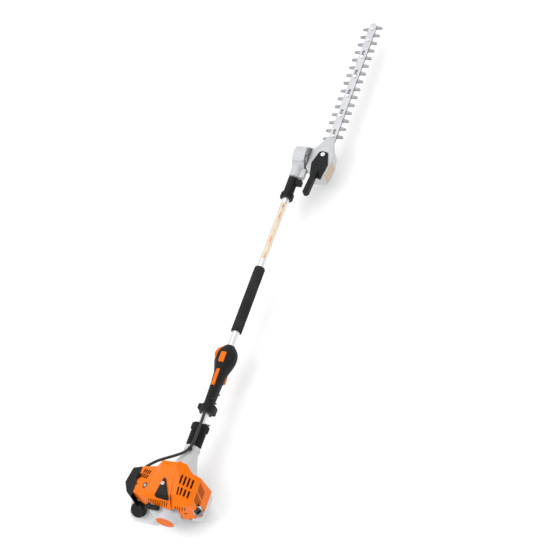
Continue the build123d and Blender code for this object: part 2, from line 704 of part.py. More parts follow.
def starter_grip():
    with BuildPart() as grip:
        add(rod((-760, 8, 51.5), (-760, 52, 51.5), 7.4))
        fillet(grip.edges().filter_by(GeomType.CIRCLE), radius=5)
        add(lathe([(4, 0), (4, 6), (8.6, 5), (8.6, 0)], (-760, 30, 51.5), (0.6, 0, -0.8)))
    return grip


def fuel_tank():
    seat = Plane(origin=CAP_SEAT, z_dir=CAP_AXIS)
    with BuildPart() as tank:
        add(hull(TANK_PLAN, TANK_END, TANK_SIDE, corner=14))
        add(seat.location * Pos(0, 0, 2) * puck(16, 14))
        add(hull(TANK_PLAN, TANK_END, TANK_SIDE, 2.4, corner=14), mode=Mode.SUBTRACT)
        add(seat.location * puck(13, 40), mode=Mode.SUBTRACT)
    return tank


def fuel_cap():
    seat = Plane(origin=CAP_SEAT, z_dir=CAP_AXIS)
    with BuildPart() as cap:
        add(seat.location * lathe([(1.4, 16.4), (1.4, 23), (4, 24), (17, 24), (21, 20), (21, 0), (12, 0), (12, 16.4)],
                                  direction=(0, 0, 1)))
        for index in range(16):
            angle = math.radians(22.5 * index)
            groove = Pos(25.2 * math.cos(angle), 25.2 * math.sin(angle), 12) * puck(2.4, 30)
            add(seat.location * groove, mode=Mode.SUBTRACT)
    return cap


def base_foot():
    """The guard under the engine, with two runners it stands on."""
    with BuildPart() as foot:
        add(hull(GUARD_PLAN, GUARD_END, GUARD_SIDE))
        add(hull(GUARD_PLAN, GUARD_END, GUARD_SIDE, 3.0), mode=Mode.SUBTRACT)
        add(block((-760, -640), (-120, 80), (-20.6, 0)), mode=Mode.SUBTRACT)
        add(block((-760, -640), (-64, 80), (-38, 0)), mode=Mode.SUBTRACT)
        add(bell_room(), mode=Mode.SUBTRACT)
        for low, high in ((-56, -44), (40, 52)):
            add(block((-716, -662), (low, high), (-98, -92), 4))
    return foot


# ---------------------------------------------------------------- sliding lock and arm

def arm_sleeve():
    with BuildPart() as sleeve:
        add(lathe([(393, 13), (393, 20), (395, 22), (411, 22), (414, 19), (416, 17.2), (473.5, 17.2), (473.5, 13)]))
        add(block((450, 470), (-34, -14), (-8, 8), 3))
        for index in range(12):
            add(Rotation(30 * index, 0, 0) * block((396, 410), (20.8, 24), (-1.6, 1.6)), mode=Mode.SUBTRACT)
        add(rod((380, 0, 0), (480, 0, 0), 13), mode=Mode.SUBTRACT)
        add(rod((458, -31, 0), (480, -31, 0), 2.78), mode=Mode.SUBTRACT)
    return sleeve


def lock_bolt():
    with BuildPart() as bolt:
        add(rod((458, -31, 0), (515.3, -31, 0), 2.8))
        chamfer(bolt.faces().sort_by(Axis.X)[-1].edges(), length=0.6)
    return bolt


def arm_housing():
    hinge = (HINGE_X, 0, 0)
    with BuildPart() as arm:
        add(lathe([(478.5, 0), (478.5, 18.5), (482, 20), (512, 20.5), (524, 22), (545, 22), (545, 0)]))
        add(ring(-15, 27, 0, 42, hinge, (0, -1, 0)))
        add(block((480, 514), (-34.2, -14), (-8, 8), 2))
        for angle in (60, 130, 230, 300):
            x, z = HINGE_X + 42 * math.cos(math.radians(angle)), 42 * math.sin(math.radians(angle))
            add(rod((x, -24, z), (x, 12, z), 5))
        add(ring(-11, 22.5, 0, 36, hinge, (0, -1, 0)), mode=Mode.SUBTRACT)
        add(rod((470, 0, 0), (500, 0, 0), TUBE_R + 0.03), mode=Mode.SUBTRACT)
        add(rod((499, 0, 0), (543, 0, 0), 17.5), mode=Mode.SUBTRACT)
        add(rod((HINGE_X, -20, 0), (HINGE_X, -28, 0), 12.05), mode=Mode.SUBTRACT)
        add(ring(-12, -6, 0, 9, hinge, (0, -1, 0)))
        add(ring(-11, -5, 0, 4.95, hinge, (0, -1, 0)), mode=Mode.SUBTRACT)
        add(rod((470, -31, 0), (530, -31, 0), 2.9), mode=Mode.SUBTRACT)
    return arm


def pinion_bearing():
    with BuildPart() as bearing:
        add(ring(503, 510, 8.05, 17.4))
        add(lathe([(502, 11.5), (502, 13.8), (504.2, 13.8), (504.2, 11.5)]), mode=Mode.SUBTRACT)
        add(lathe([(509, 11.5), (509, 13.8), (511, 13.8), (511, 11.5)]), mode=Mode.SUBTRACT)
    return bearing


def drive_pinion():
    place = Plane(origin=(HINGE_X, 0, 0), x_dir=(0, -1, 0), z_dir=(-1, 0, 0))
    with BuildPart() as pinion:
        add(place.location * bevel_teeth(12, 28.0, 33.7, 10.0, 0.95, 0.36))
        add(rod((505, 0, 0), (531, 0, 0), 8))
        add(rod((500, 0, 0), (550, 0, 0), 4.02), mode=Mode.SUBTRACT)
    return pinion


def bevel_shaft():
    """The upright shaft through the hinge, with a bevel gear at each end."""
    first = Plane(origin=(HINGE_X, 0, 0), x_dir=(-1, 0, 0), z_dir=(0, -1, 0))
    second = Plane(origin=(HINGE_X, BLADE_Y, 0), x_dir=(1, 0, 0), z_dir=(0, 1, 0))
    with BuildPart() as shaft:
        add(rod((HINGE_X, 10.5, 0), (HINGE_X, -52, 0), 4.9))
        add(first.location * bevel_teeth(18, 28.0, 56.3, 10.0, 1.3, 0.36, 10))
        add(second.location * bevel_teeth(9, 25.3, 18.4, 9.0, 1.1, 0.36))
    return shaft


# ---------------------------------------------------------------- cutter head

GEARBOX_PLAN = [(491, -56), (491, -98), (505, -106), (560, -111), (604, -103), (604, -50), (588, -35.4),
                (515, -35.4), (497, -48)]
COVER_PLATE_PLAN = [(577, -64), (582, -73), (578, -94), (530, -108), (470, -100), (484, -59), (532, -50)]
NOSE_PLAN = [(586, -105), (604, -103), (634, -92), (658, -89), (658, -61), (632, -57), (604, -49.5), (586, -40)]
NOSE_SIDE = [(584, -10.6), (584, 18), (604, 18), (658, -3), (658, -10.6)]
LID_OPENING = [(570, -66), (574, -74), (571, -89), (530, -101), (500, -94), (500, -66), (530, -57)]


def hinge_quadrant():
    with BuildPart() as disc:
        add(ring(28, 35.2, 5.3, QUADRANT_R, (HINGE_X, 0, 0), (0, -1, 0)))
        add(ring(21.5, 28, 5.3, 12, (HINGE_X, 0, 0), (0, -1, 0)))
        for index in range(NOTCHES):
            angle = 180 + NOTCH_STEP * (index - NOTCHES // 2)
            cut = block((QUADRANT_R - NOTCH_DEPTH, QUADRANT_R + 4), (-35.6, -27), (-3.1, 3.1))
            add(Pos(HINGE_X, 0, 0) * Rotation(0, angle, 0) * cut, mode=Mode.SUBTRACT)
    return disc


def gearbox_housing():
    with BuildPart() as nose:
        add(prism(NOSE_PLAN, -10.6, 18, corner=4))
        add(slab(NOSE_SIDE, -120, -30, 3), mode=Mode.INTERSECT)
    with BuildPart() as box:
        add(prism(GEARBOX_PLAN, -44, 18, corner=5))
        fillet(box.faces().sort_by(Axis.Z)[0].edges(), radius=3)
        with BuildSketch(Plane.XY.offset(-40)) as inside:
            with BuildLine():
                Polyline(*GEARBOX_PLAN, close=True)
            make_face()
            fillet(inside.vertices(), radius=5)
            offset(amount=-3.5, mode=Mode.REPLACE)
        extrude(amount=54.5, mode=Mode.SUBTRACT)
        add(prism(LID_OPENING, 10, 30, corner=3), mode=Mode.SUBTRACT)
        add(nose.part)
        add(block((594, 664), (-101.5, -48.5), (LOWER_LOW - 0.4, UPPER_HIGH + 0.35)), mode=Mode.SUBTRACT)
        add(block((594, 664), (-88, -62), (-16, BAR_HIGH + 0.4)), mode=Mode.SUBTRACT)
        add(block((560, 597), (-97, -53), (-30, 9)), mode=Mode.SUBTRACT)
        add(rod((HINGE_X, BLADE_Y, -42), (HINGE_X, BLADE_Y, -28), 8))
        add(rod((HINGE_X, BLADE_Y, -39), (HINGE_X, BLADE_Y, -20), 4.05), mode=Mode.SUBTRACT)
        add(rod((HINGE_X, -30, 0), (HINGE_X, -42, 0), 5.3), mode=Mode.SUBTRACT)
        for x, y in ((597, -97), (597, -56), (518, -42)):
            add(rod((x, y, 16), (x, y, 20), 3.4))
        for step in range(4):
            add(block((510 + 20 * step, 514 + 20 * step), (-113, -103), (-40, 12)) &
                prism(GEARBOX_PLAN, -60, 40, corner=5))
    return box


def gearbox_cover():
    with BuildPart() as cover:
        add(prism(COVER_PLATE_PLAN, 18.1, 23, corner=3))
        fillet(cover.faces().sort_by(Axis.Z)[-1].edges(), radius=1.2)
        add(ring(22, 24.6, 4.6, 8, (567, -80, 0), (0, 0, 1)))
        add(prism([(498, -90), (532, -90), (532, -72), (498, -70)], 22, 24.4, corner=3))
    return cover


def pivot_lever():
    """The tilt handle that points back from the gearbox."""
    outline = [(497, -88), (494, -71), (404, -63), (398, -68), (399, -79), (406, -83)]
    with BuildPart() as lever:
        add(prism(outline, 23.2, 41, corner=4))
        fillet(lever.faces().sort_by(Axis.Z)[-1].edges(), radius=3.5)
    return lever


def crank_gear():
    """Crown gear, shaft and two opposed eccentric discs that drive the blades."""
    apex = Plane(origin=(HINGE_X, BLADE_Y, -2.6), x_dir=(1, 0, 0), z_dir=(0, 0, -1))
    with BuildPart() as crank:
        add(apex.location * bevel_teeth(27, 25.3, 71.6, 9.0, 1.1, 0.36))
        add(rod((HINGE_X, BLADE_Y, -38), (HINGE_X, BLADE_Y, -8), 4))
        for side, low, high in ((1, UPPER_LOW + 0.1, UPPER_HIGH - 0.1), (-1, LOWER_LOW + 0.1, LOWER_HIGH - 0.1)):
            add(rod((HINGE_X, BLADE_Y + side * BLADE_THROW, low), (HINGE_X, BLADE_Y + side * BLADE_THROW, high), 13))
    return crank


def blade(low, high):
    """One reciprocating blade: tail ring, strip, teeth on both sides and slots for the head bolts."""
    with BuildPart() as body:
        add(block((586, BLADE_TIP), (BLADE_Y - BLADE_HALF, BLADE_Y + BLADE_HALF), (low, high), 3))
        add(obround((HINGE_X, BLADE_Y), 34.5, 25.5, low, high))
        for first, side, count in ((FIRST_RIGHT, -1, TEETH_RIGHT), (FIRST_LEFT, 1, TEETH_LEFT)):
            for index in range(count):
                x = first - TOOTH_PITCH * index - 5
                root = BLADE_Y + side * (BLADE_HALF - 1)
                tip = BLADE_Y + side * TOOTH_REACH
                add(prism([(x, root), (x + 1.4, tip), (x + 8.6, tip), (x + 13, root)], low, high, corner=0.8))
        add(obround((HINGE_X, BLADE_Y), 31, 22, low - 1, high + 1), mode=Mode.SUBTRACT)
        for x in BOLTS_X[:-1]:
            add(obround((x, BLADE_Y), 12.9, 3.8, low - 1, high + 1), mode=Mode.SUBTRACT)
        add(block((BOLTS_X[-1] - 12.9, BLADE_TIP + 1), (BLADE_Y - 3.8, BLADE_Y + 3.8), (low - 1, high + 1)),
            mode=Mode.SUBTRACT)
    return body


def lower_blade():
    """The same blade again, one thickness and a gap lower."""
    with BuildPart() as body:
        add(Pos(0, 0, LOWER_LOW - UPPER_LOW) * UPPER_BLADE)
    return body


def guide_bar():
    with BuildPart() as bar:
        add(obround(((592 + 1164) / 2, BLADE_Y), (1164 - 592) / 2, 12.5, BAR_LOW, BAR_HIGH))
        for x in BOLTS_X:
            add(rod((x, BLADE_Y, BAR_LOW - 1), (x, BLADE_Y, BAR_HIGH + 1), 3.4), mode=Mode.SUBTRACT)
        for x in (655, 740, 826, 911, 997):
            add(obround((x + 28, BLADE_Y), 16, 4.5, BAR_LOW - 1, BAR_HIGH + 1), mode=Mode.SUBTRACT)
    return bar


def head_bolts():
    """Bolts, washers and nuts that hold the blades under the guide bar."""
    with BuildPart() as bolts:
        for x in BOLTS_X:
            add(rod((x, BLADE_Y, -25), (x, BLADE_Y, BAR_HIGH), 3.38))
            with BuildSketch(Plane.XY.offset(-24.6)):
                with Locations((x, BLADE_Y)):
                    RegularPolygon(6, 6)
            extrude(amount=4.2)
            if x > 660:
                add(rod((x, BLADE_Y, BAR_HIGH), (x, BLADE_Y, -8), 5.6))
                with BuildSketch(Plane.XY.offset(-8.9)):
                    with Locations((x, BLADE_Y)):
                        RegularPolygon(2.2, 6)
                extrude(amount=2, mode=Mode.SUBTRACT)
    return bolts


# ---------------------------------------------------------------- export

HANDLE = hollow_handle()
UPPER_BLADE = blade(UPPER_LOW, UPPER_HIGH).part

PIECES = {
    "drive_tube": drive_tube, "drive_shaft": drive_shaft, "shaft_bushes": shaft_bushes, "foam_grip": foam_grip,
    "tube_screw": tube_screw, "handle_shell_left": lambda: handle_shell(Keep.BOTTOM),
    "handle_shell_right": lambda: handle_shell(Keep.TOP), "handle_clamp": handle_clamp,
    "throttle_trigger": throttle_trigger, "lock_lever": lock_lever, "stop_switch": stop_switch,
    "speed_wheel": speed_wheel, "handle_pins": handle_pins, "handle_screws": handle_screws,
    "throttle_cable": throttle_cable, "av_boot": av_boot, "clutch_housing": clutch_housing,
    "clutch_drum": clutch_drum, "clutch_shoes": clutch_shoes, "crankcase": crankcase, "cylinder": cylinder,
    "piston": piston, "connecting_rod": connecting_rod, "crankshaft": crankshaft, "flywheel_fan": flywheel_fan,
    "ignition_module": ignition_module, "spark_plug": spark_plug, "engine_shroud": engine_shroud,
    "muffler_cover": muffler_cover, "shroud_latch": shroud_latch, "shroud_screws": shroud_screws,
    "filter_cover": filter_cover, "filter_base": filter_base, "air_filter": air_filter,
    "carburettor": carburettor, "choke_knob": choke_knob, "purge_bulb": purge_bulb, "muffler": muffler,
    "starter_housing": starter_housing, "starter_vent": starter_vent, "recoil_pulley": recoil_pulley,
    "starter_grip": starter_grip, "fuel_tank": fuel_tank, "fuel_cap": fuel_cap, "base_foot": base_foot,
    "arm_sleeve": arm_sleeve, "lock_bolt": lock_bolt, "arm_housing": arm_housing,
    "pinion_bearing": pinion_bearing, "drive_pinion": drive_pinion, "bevel_shaft": bevel_shaft,
    "hinge_quadrant": hinge_quadrant, "gearbox_housing": gearbox_housing, "gearbox_cover": gearbox_cover,
    "pivot_lever": pivot_lever, "crank_gear": crank_gear, "upper_blade": lambda: blade(UPPER_LOW, UPPER_HIGH),
    "lower_blade": lower_blade, "guide_bar": guide_bar, "head_bolts": head_bolts,
}

for name, make in PIECES.items():
    piece = make().part
    piece.label = name
    export_step(piece, f"parts/{name}.step")
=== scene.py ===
"""Studio picture of the pole hedge trimmer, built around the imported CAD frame. Lengths are in metres."""
import math

import bmesh
import bpy
from mathutils import Matrix, Vector


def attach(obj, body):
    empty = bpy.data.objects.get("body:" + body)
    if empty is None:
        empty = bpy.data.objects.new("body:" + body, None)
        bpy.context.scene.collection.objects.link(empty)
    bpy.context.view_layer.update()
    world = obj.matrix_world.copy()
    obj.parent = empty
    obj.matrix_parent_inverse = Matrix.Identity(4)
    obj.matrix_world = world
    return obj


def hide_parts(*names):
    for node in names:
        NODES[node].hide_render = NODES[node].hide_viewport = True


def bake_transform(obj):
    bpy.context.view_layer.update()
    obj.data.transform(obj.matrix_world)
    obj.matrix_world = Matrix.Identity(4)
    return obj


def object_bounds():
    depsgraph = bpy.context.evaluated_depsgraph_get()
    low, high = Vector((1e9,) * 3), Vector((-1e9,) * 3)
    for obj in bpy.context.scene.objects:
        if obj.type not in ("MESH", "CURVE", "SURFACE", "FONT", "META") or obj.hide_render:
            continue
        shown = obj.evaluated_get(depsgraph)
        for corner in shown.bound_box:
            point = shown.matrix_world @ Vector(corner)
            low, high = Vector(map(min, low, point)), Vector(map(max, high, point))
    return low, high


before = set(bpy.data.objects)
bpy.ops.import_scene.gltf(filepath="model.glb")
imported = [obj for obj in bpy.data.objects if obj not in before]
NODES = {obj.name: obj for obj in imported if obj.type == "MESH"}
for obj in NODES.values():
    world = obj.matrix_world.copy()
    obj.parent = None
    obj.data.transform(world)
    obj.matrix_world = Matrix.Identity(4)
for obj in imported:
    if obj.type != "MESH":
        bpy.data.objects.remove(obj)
CAD_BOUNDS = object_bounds()
SCENE = bpy.context.scene

ORANGE = (0.80, 0.155, 0.0)
NEAR_BLACK = (0.010, 0.010, 0.011)
PALE_GREY = (0.52, 0.535, 0.55)
TUBE_R = 0.0127

CAMERA_LENS = 110.3
CAMERA_PLACE = (-2.394, -2.043, 4.259)
CAMERA_RIGHT = (0.3055, -0.9190, -0.2493)
CAMERA_UP = (0.8286, 0.1275, 0.5453)
CAMERA_BACK = (-0.4693, -0.3732, 0.8003)
FLOOR_REACH = 30.0

EDGE_R = 0.0007
EDGE_DOT, FACE_DOT = 0.80, 0.985  # how far rounded and flat normals agree, on edges and on faces
CLOUD_SCALE = 28.0
PATCH_SCALE = CLOUD_SCALE * 2.7
ROUGH_SPREAD = 0.08
WAVE_PITCH = 0.31416  # about how far apart a wave texture's bands lie at scale 1
WELD_GAP = 0.00001
SHARP_ANGLE = math.radians(35)

# The left cover's sloping deck
DECK_UP = (0.0, 0.425, 0.905)
DECK_DOWN = (0.0, 0.905, -0.425)
DECK_CENTRE = (-0.668, 0.084, 0.0651)

# Outlines of the two engine covers, as (places, values) tables with places from low to high
SHROUD_BACK = ((0.010, 0.042, 0.076, 0.086), (-0.770, -0.756, -0.738, -0.728))
SHROUD_BACK_PLAN = ((-0.036, 0.0, 0.058, 0.112), (-0.757, -0.752, -0.744, -0.724))
COVER_TOP = ((-0.099, -0.089, -0.048, -0.027), (-0.020, 0.063, 0.096, 0.111))
COVER_TOP_ALONG = ((-0.756, -0.745, -0.722, -0.640), (0.035, 0.055, 0.086, 0.112))
COVER_BACK = ((-0.020, 0.035, 0.055, 0.086), (-0.750, -0.756, -0.745, -0.722))
COVER_BACK_PLAN = ((-0.092, -0.046, -0.016), (-0.735, -0.752, -0.757))
COVER_SIDE = ((-0.020, 0.063), (-0.099, -0.089))

# How far the dark sheets of painted shade lie behind the covers' faces, and how deep their dimples are
SHADE_SHEET_DEPTH = 0.0044
TOP_SHADE_SHEET_EXTRA = 0.0012
THIN_DEPTH = 0.0022
DIMPLE = 0.0004

# The muffler's outlet, which points right and back
SHIELD_X, SHIELD_Y = -0.7262, -0.0880
SHIELD_ALONG = (0.82, -0.572, 0)
OUTLET_CENTRE = (-0.7290, -0.0922, 0.0120)
OUTLET_AXIS = (-0.503, -0.864, 0)

UPRIGHT = (0, 0, 1)
DECK_SCREW = (-0.705, 0.0684, 0.0724)
RECESS_SHADE_SINK = 0.0016
CRANK_NUT = (0.567, -0.0800, 0.0234)
NUT_STEPS = 12
CABLE_CLIP = (-0.5475, -0.0073, 0.0319)
CABLE_CLIP_AXIS = (-0.80, 0.13, 0.06)

CABLE_DIAMETER = 0.009
CABLE_ROUTE = ((-0.4121, -0.003, 0.0174), (-0.438, -0.005, 0.0174), (-0.460, -0.009, 0.027),
               (-0.486, -0.012, 0.0326), (-0.520, -0.011, 0.0305), (-0.548, -0.007, 0.032),
               (-0.568, 0.006, 0.038), (-0.587, 0.028, 0.046), (-0.604, 0.056, 0.050),
               (-0.622, 0.082, 0.051), (-0.640, 0.101, 0.048))

ROPE_START = (-0.7495, 0.030, 0.0332)
ROPE_END = (-0.7585, 0.030, 0.0478)
ROPE_RADIUS = 0.0017
STRAND_HEIGHT = 0.00012
ROPE_STEPS, ROPE_RINGS = 16, 24

# The gearbox's outer faces seen from above: distance along them, X and Y
GEARBOX_ALONG = (0.0, 0.0091, 0.0114, 0.0645)
GEARBOX_X = (GEARBOX_ALONG, (0.4960, 0.5039, 0.5061, 0.5590))
GEARBOX_Y = (GEARBOX_ALONG, (-0.10086, -0.10537, -0.10610, -0.11091))
LABEL_LIFT = 0.00025
POLE_LABEL_ENDS = (0.150, 0.372)
POLE_LABEL_HALF = math.radians(38)
POLE_LABEL_MIDDLE = math.radians(-25)
POLE_LABEL_R = TUBE_R + 0.00012


# ---------------------------------------------------------------- node helpers

def new_material(name):
    """A new material with its node tree and its shader node."""
    material = bpy.data.materials.new(name)
    material.use_nodes = True
    tree = material.node_tree
    shader = tree.nodes["Principled BSDF"]
    return material, tree, shader


def coords(tree, scale=(1, 1, 1), turn=(0, 0, 0)):
    """Object coordinates, stretched and turned."""
    source = tree.nodes.new("ShaderNodeTexCoord")
    mapping = tree.nodes.new("ShaderNodeMapping")
    mapping.inputs["Scale"].default_value = scale
    mapping.inputs["Rotation"].default_value = turn
    tree.links.new(source.outputs["Object"], mapping.inputs["Vector"])
    return mapping.outputs["Vector"]


def noise(tree, vector, scale, detail=3.0, rough=0.55):
    """Cloudy values around 0.5."""
    node = tree.nodes.new("ShaderNodeTexNoise")
    node.inputs["Scale"].default_value = scale
    node.inputs["Detail"].default_value = detail
    node.inputs["Roughness"].default_value = rough
    tree.links.new(vector, node.inputs["Vector"])
    return node.outputs["Fac"]


def remap(tree, value, low, high, start=0.3, end=0.7):
    """A value between start and end, stretched to run from low to high."""
    node = tree.nodes.new("ShaderNodeMapRange")
    for socket, number in (("From Min", start), ("From Max", end), ("To Min", low), ("To Max", high)):
        node.inputs[socket].default_value = number
    tree.links.new(value, node.inputs["Value"])
    return node.outputs["Result"]


def blend_colour(tree, factor, one, two):
    """A mix of two colours, each a tuple or a socket."""
    node = tree.nodes.new("ShaderNodeMix")
    node.data_type = "RGBA"
    tree.links.new(factor, node.inputs["Factor"])
    for name, colour in (("A", one), ("B", two)):
        socket = next(s for s in node.inputs if s.name == name and s.type == "RGBA")
        if isinstance(colour, tuple):
            socket.default_value = (*colour, 1)
        else:
            tree.links.new(colour, socket)
    return next(s for s in node.outputs if s.type == "RGBA")


def shade(colour, factor):
    """A colour made darker or lighter, up to white."""
    return tuple(min(1.0, channel * factor) for channel in colour)


def soft_edge(tree, radius=EDGE_R):
    """Normals that round off sharp edges, as moulding and casting do."""
    node = tree.nodes.new("ShaderNodeBevel")
    node.samples = 4
    node.inputs["Radius"].default_value = radius
    return node.outputs["Normal"]


def edge_mask(tree, rounded):
    """1 along edges and 0 on open faces."""
    face = tree.nodes.new("ShaderNodeNewGeometry")
    dot = tree.nodes.new("ShaderNodeVectorMath")
    dot.operation = "DOT_PRODUCT"
    tree.links.new(face.outputs["Normal"], dot.inputs[0])
    tree.links.new(rounded, dot.inputs[1])
    return remap(tree, dot.outputs["Value"], 1.0, 0.0, EDGE_DOT, FACE_DOT)


def bump(tree, shader, height, strength, distance, base=None):
    """Small relief on top of the base normals."""
    node = tree.nodes.new("ShaderNodeBump")
    node.inputs["Strength"].default_value = strength
    node.inputs["Distance"].default_value = distance
    tree.links.new(height, node.inputs["Height"])
    if base:
        tree.links.new(base, node.inputs["Normal"])
    tree.links.new(node.outputs["Normal"], shader.inputs["Normal"])


def surface(name, colour, rough, metal=0.0, grain=900.0, depth=0.00004, vary=0.06, stretch=(1, 1, 1),
            gloss=0.5, wear=1.12, edge=EDGE_R):
    """A moulded, cast or ground finish: cloudy colour, worn edges, uneven roughness and a fine grain."""
    material, tree, shader = new_material(name)
    shader.inputs["Metallic"].default_value = metal
    shader.inputs["Specular IOR Level"].default_value = gloss
    place = coords(tree)
    rounded = soft_edge(tree, edge)
    clouds = remap(tree, noise(tree, place, CLOUD_SCALE, 4.0), 0.0, 1.0)
    tint = blend_colour(tree, clouds, shade(colour, 1 - vary), shade(colour, 1 + vary))
    tint = blend_colour(tree, edge_mask(tree, rounded), tint, shade(colour, wear))
    tree.links.new(tint, shader.inputs["Base Color"])
    patches = noise(tree, place, PATCH_SCALE, 5.0, 0.65)
    sheen = remap(tree, patches, rough - ROUGH_SPREAD, rough + ROUGH_SPREAD)
    tree.links.new(sheen, shader.inputs["Roughness"])
    bump(tree, shader, noise(tree, coords(tree, stretch), grain, 2.0), 0.5, depth, rounded)
    return material


def banded(name, ground, ink, pitch, rough, ratio=0.55, depth=0.0002):
    """A ground colour crossed by even slanted bands, raised where they lie."""
    material, tree, shader = new_material(name)
    place = coords(tree)
    wave = tree.nodes.new("ShaderNodeTexWave")
    wave.bands_direction = "DIAGONAL"
    wave.inputs["Scale"].default_value = WAVE_PITCH / pitch
    tree.links.new(place, wave.inputs["Vector"])
    bands = remap(tree, wave.outputs["Fac"], 0.0, 1.0, ratio - 0.06, ratio + 0.06)
    tint = blend_colour(tree, bands, ground, ink)
    grime = remap(tree, noise(tree, place, 90.0, 5.0), 0.0, 0.12)
    tint = blend_colour(tree, grime, tint, shade(ink, 0.6))
    tree.links.new(tint, shader.inputs["Base Color"])
    sheen = remap(tree, noise(tree, place, 140.0), rough - ROUGH_SPREAD, rough + ROUGH_SPREAD)
    tree.links.new(sheen, shader.inputs["Roughness"])
    bump(tree, shader, bands, 0.5, depth, soft_edge(tree))
    return material


def black_mesh_and_painted_shade(name):
    """Black woven wire, as fine round cells. Behind the covers' vents the same near-black stands in as
    painted shade for the housing's dark inside.
    """
    material, tree, shader = new_material(name)
    place = coords(tree, turn=(0.4, 0.5, 0.78))
    cell = tree.nodes.new("ShaderNodeTexVoronoi")
    cell.inputs["Scale"].default_value = 900.0
    tree.links.new(place, cell.inputs["Vector"])
    depth = remap(tree, cell.outputs["Distance"], 0.0, 1.0, 0.2, 0.6)
    tree.links.new(blend_colour(tree, depth, (0.002, 0.002, 0.002), (0.006, 0.006, 0.006)),
                   shader.inputs["Base Color"])
    tree.links.new(remap(tree, noise(tree, place, 300.0), 0.75, 0.95), shader.inputs["Roughness"])
    shader.inputs["Specular IOR Level"].default_value = 0.1
    bump(tree, shader, depth, 0.6, 0.0002)
    return material


# ---------------------------------------------------------------- camera, light and floor

def add_camera():
    """The camera stands behind the engine, to its right, and looks down along the pole."""
    data = bpy.data.cameras.new("camera")
    data.sensor_width = 36.0
    data.lens = CAMERA_LENS
    data.clip_end = 60
    camera = bpy.data.objects.new("camera", data)
    columns = (CAMERA_RIGHT, CAMERA_UP, CAMERA_BACK, CAMERA_PLACE)
    camera.matrix_world = Matrix([*zip(*columns), (0, 0, 0, 1)])
    SCENE.collection.objects.link(camera)
    SCENE.camera = camera


def add_area(name, place, target, size, power):
    """A round lamp that faces a target."""
    data = bpy.data.lights.new(name, "AREA")
    data.shape = "DISK"
    data.size = size
    data.energy = power
    light = bpy.data.objects.new(name, data)
    light.location = place
    light.rotation_euler = (Vector(target) - Vector(place)).to_track_quat("-Z", "Y").to_euler()
    SCENE.collection.objects.link(light)


def add_studio():
    """White surroundings, three large lamps and a white floor."""
    world = bpy.data.worlds.new("studio")
    SCENE.world = world
    world.use_nodes = True
    background = world.node_tree.nodes["Background"]
    background.inputs["Color"].default_value = (1, 1, 1, 1)
    background.inputs["Strength"].default_value = 0.86
    add_area("key", (-1.9, 2.2, 4.0), (-0.3, 0, 0), 3.6, 92)
    add_area("fill", (-2.8, -2.4, 2.6), (-0.5, 0, 0), 2.6, 20)
    add_area("front", (2.6, 0.6, 3.8), (0.6, 0, 0), 3.6, 44)
    SCENE.view_settings.view_transform = "Standard"
    floor_z = CAD_BOUNDS[0][2]
    mesh = bpy.data.meshes.new("floor")
    corners = ((-1, -1), (1, -1), (1, 1), (-1, 1))
    mesh.from_pydata([(x * FLOOR_REACH, y * FLOOR_REACH, floor_z) for x, y in corners], [], [(0, 1, 2, 3)])
    floor = bpy.data.objects.new("floor", mesh)
    SCENE.collection.objects.link(floor)
    material, _, shader = new_material("floor_paper")
    shader.inputs["Base Color"].default_value = (0.97, 0.97, 0.97, 1)
    shader.inputs["Roughness"].default_value = 0.9
    shader.inputs["Specular IOR Level"].default_value = 0.1
    mesh.materials.append(material)


# ---------------------------------------------------------------- materials for the CAD nodes

def paint(material, *names):
    """One material for each of the named CAD nodes."""
    for name in names:
        mesh = NODES[name].data
        mesh.materials.clear()
        mesh.materials.append(material)


def satin_nodes():
    """Plastics, rubber and foam."""
    orange = surface("orange_plastic", ORANGE, 0.36, grain=1400, depth=0.00003, vary=0.02, gloss=0.16,
                     wear=1.1)
    black = surface("black_plastic", NEAR_BLACK, 0.46, grain=1500, depth=0.00012, vary=0.15, gloss=0.16,
                    wear=1.7)
    rubber = surface("rubber", (0.012, 0.012, 0.012), 0.6, grain=1100, depth=0.00012, vary=0.2,
                     gloss=0.12, wear=1.5)
    foam = surface("foam", (0.019, 0.019, 0.02), 0.86, grain=520, depth=0.0009, vary=0.3, gloss=0.2,
                   wear=1.4)
    felt = surface("felt", (0.62, 0.58, 0.46), 0.88, grain=2500, depth=0.0003)
    tank = surface("tank_plastic", (0.60, 0.61, 0.61), 0.38, grain=600, depth=0.00006, vary=0.03, wear=1.05,
                   edge=0.0015)
    tank_shader = tank.node_tree.nodes["Principled BSDF"]
    tank_shader.inputs["Subsurface Weight"].default_value = 0.3
    tank_shader.inputs["Subsurface Scale"].default_value = 0.01
    paint(orange, "engine_shroud", "muffler_cover", "starter_vent", "throttle_trigger", "lock_lever",
          "stop_switch", "speed_wheel")
    paint(black, "shroud_latch", "filter_cover", "filter_base", "choke_knob", "fuel_cap",
          "handle_shell_left", "handle_shell_right", "handle_clamp", "starter_grip", "arm_sleeve",
          "gearbox_cover", "pivot_lever", "recoil_pulley", "ignition_module")
    paint(rubber, "av_boot", "purge_bulb")
    paint(foam, "foam_grip")
    paint(felt, "air_filter")
    paint(tank, "fuel_tank")


